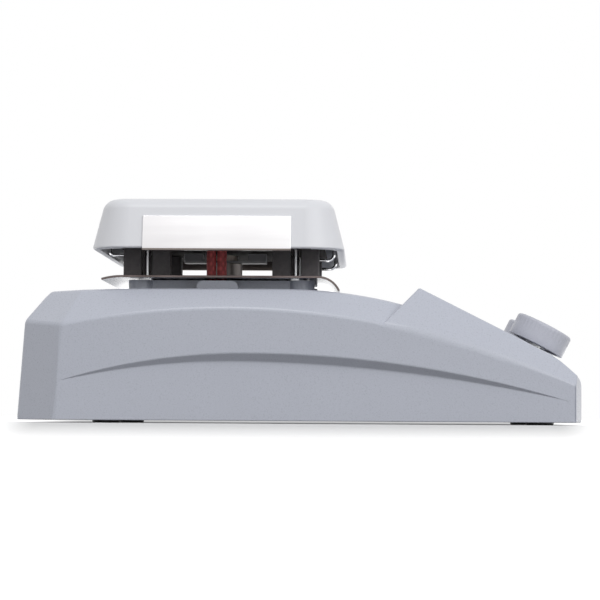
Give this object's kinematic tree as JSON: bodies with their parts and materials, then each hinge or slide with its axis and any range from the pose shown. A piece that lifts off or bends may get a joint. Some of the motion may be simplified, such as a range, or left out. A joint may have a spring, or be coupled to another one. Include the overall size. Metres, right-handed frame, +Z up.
{
  "type": "magnetic stirrer",
  "caption": "Laboratory magnetic stirrer with a heated white ceramic top plate on a raised support, a grey wedge-shaped housing with arched sides, and rotary knobs on a sloping console.",
  "frame": {"origin": "on the table under the middle of the housing's length and width", "axes": "+X to the front with the knobs, +Y to the right as seen from the front, +Z up"},
  "size_m": [0.282, 0.197, 0.1125],
  "materials": {
    "housing_grey": "fine moulded texture, light blue-grey",
    "steel_sheet": "plain sheet",
    "black_rubber": "matt",
    "zinc": "plated",
    "black_plastic": "matt",
    "circuit_board": "solder mask",
    "brass": "machined",
    "iron_core": "laminated",
    "aluminium": "extruded",
    "display_lens": "dark tinted",
    "amber_lens": "clear tinted",
    "overlay_film": "printed film",
    "control_body": "moulded",
    "knob_grey": "fine moulded texture, light blue-grey",
    "pointer_white": "white inlay",
    "motor_steel": "drawn steel",
    "magnet": "plated",
    "stainless": "polished",
    "dark_ceramic": "matt",
    "dark_steel": "heat-darkened sheet",
    "insulation": "fibre board",
    "heater_foil": "mica",
    "white_ceramic": "opaque white glass-ceramic",
    "lead_wire": "stranded wire",
    "red_silicone": "silicone-coated glass sleeve"
  },
  "bodies": {
    "base": {"housing": "housing_grey", "base_plate": "steel_sheet", "rubber_feet": "black_rubber", "base_screws": "zinc", "power_inlet": "black_plastic", "inlet_pins": "zinc", "power_board": "circuit_board", "board_posts": "brass", "transformer": "iron_core", "heat_sink": "aluminium", "supply_screws": "zinc", "control_board": "circuit_board", "board_screws": "zinc", "display_module": "black_plastic", "display_window": "display_lens", "indicator_lights": "amber_lens", "control_overlay": "overlay_film", "heat_control": "control_body", "stir_control": "control_body", "control_nuts": "zinc", "motor_grommets": "black_rubber", "motor_bracket": "steel_sheet", "motor_screws": "zinc", "motor_can": "motor_steel", "motor_cap": "motor_steel", "motor_stator": "iron_core", "motor_tower": "motor_steel", "motor_bushes": "brass", "shield_washers": "black_rubber", "heat_shield": "stainless", "support_studs": "zinc", "standoff_blocks": "dark_ceramic", "heater_tray": "dark_steel", "stud_nuts": "zinc", "retaining_clips": "stainless", "insulation_pad": "insulation", "heating_element": "heater_foil", "temperature_probe": "stainless", "lead_terminal": "white_ceramic", "heater_leads": "lead_wire", "lead_sleeves": "red_silicone", "top_plate": "white_ceramic", "left_trim": "stainless", "right_trim": "stainless"},
    "rotor": {"motor_armature": "iron_core", "drive_shaft": "stainless", "magnet_carrier": "motor_steel", "drive_magnets": "magnet", "rotor_hub": "brass"},
    "heat_dial": {"heat_spindle": "zinc", "heat_knob": "knob_grey", "heat_pointer": "pointer_white"},
    "stir_dial": {"stir_spindle": "zinc", "stir_knob": "knob_grey", "stir_pointer": "pointer_white"}
  },
  "joints": [
    {"name": "rotor_spin", "type": "hinge", "parent": "base", "child": "rotor", "pos_m": [-0.041, 0, 0.084], "axis": [0, 0, 1], "continuous": true},
    {"name": "heat_knob_turn", "type": "hinge", "parent": "base", "child": "heat_dial", "pos_m": [0.11898, -0.041, 0.03795], "axis": [-0.454, 0, -0.891], "range_deg": [0, 290]},
    {"name": "stir_knob_turn", "type": "hinge", "parent": "base", "child": "stir_dial", "pos_m": [0.11898, 0.041, 0.03795], "axis": [-0.454, 0, -0.891], "range_deg": [0, 290]}
  ]
}
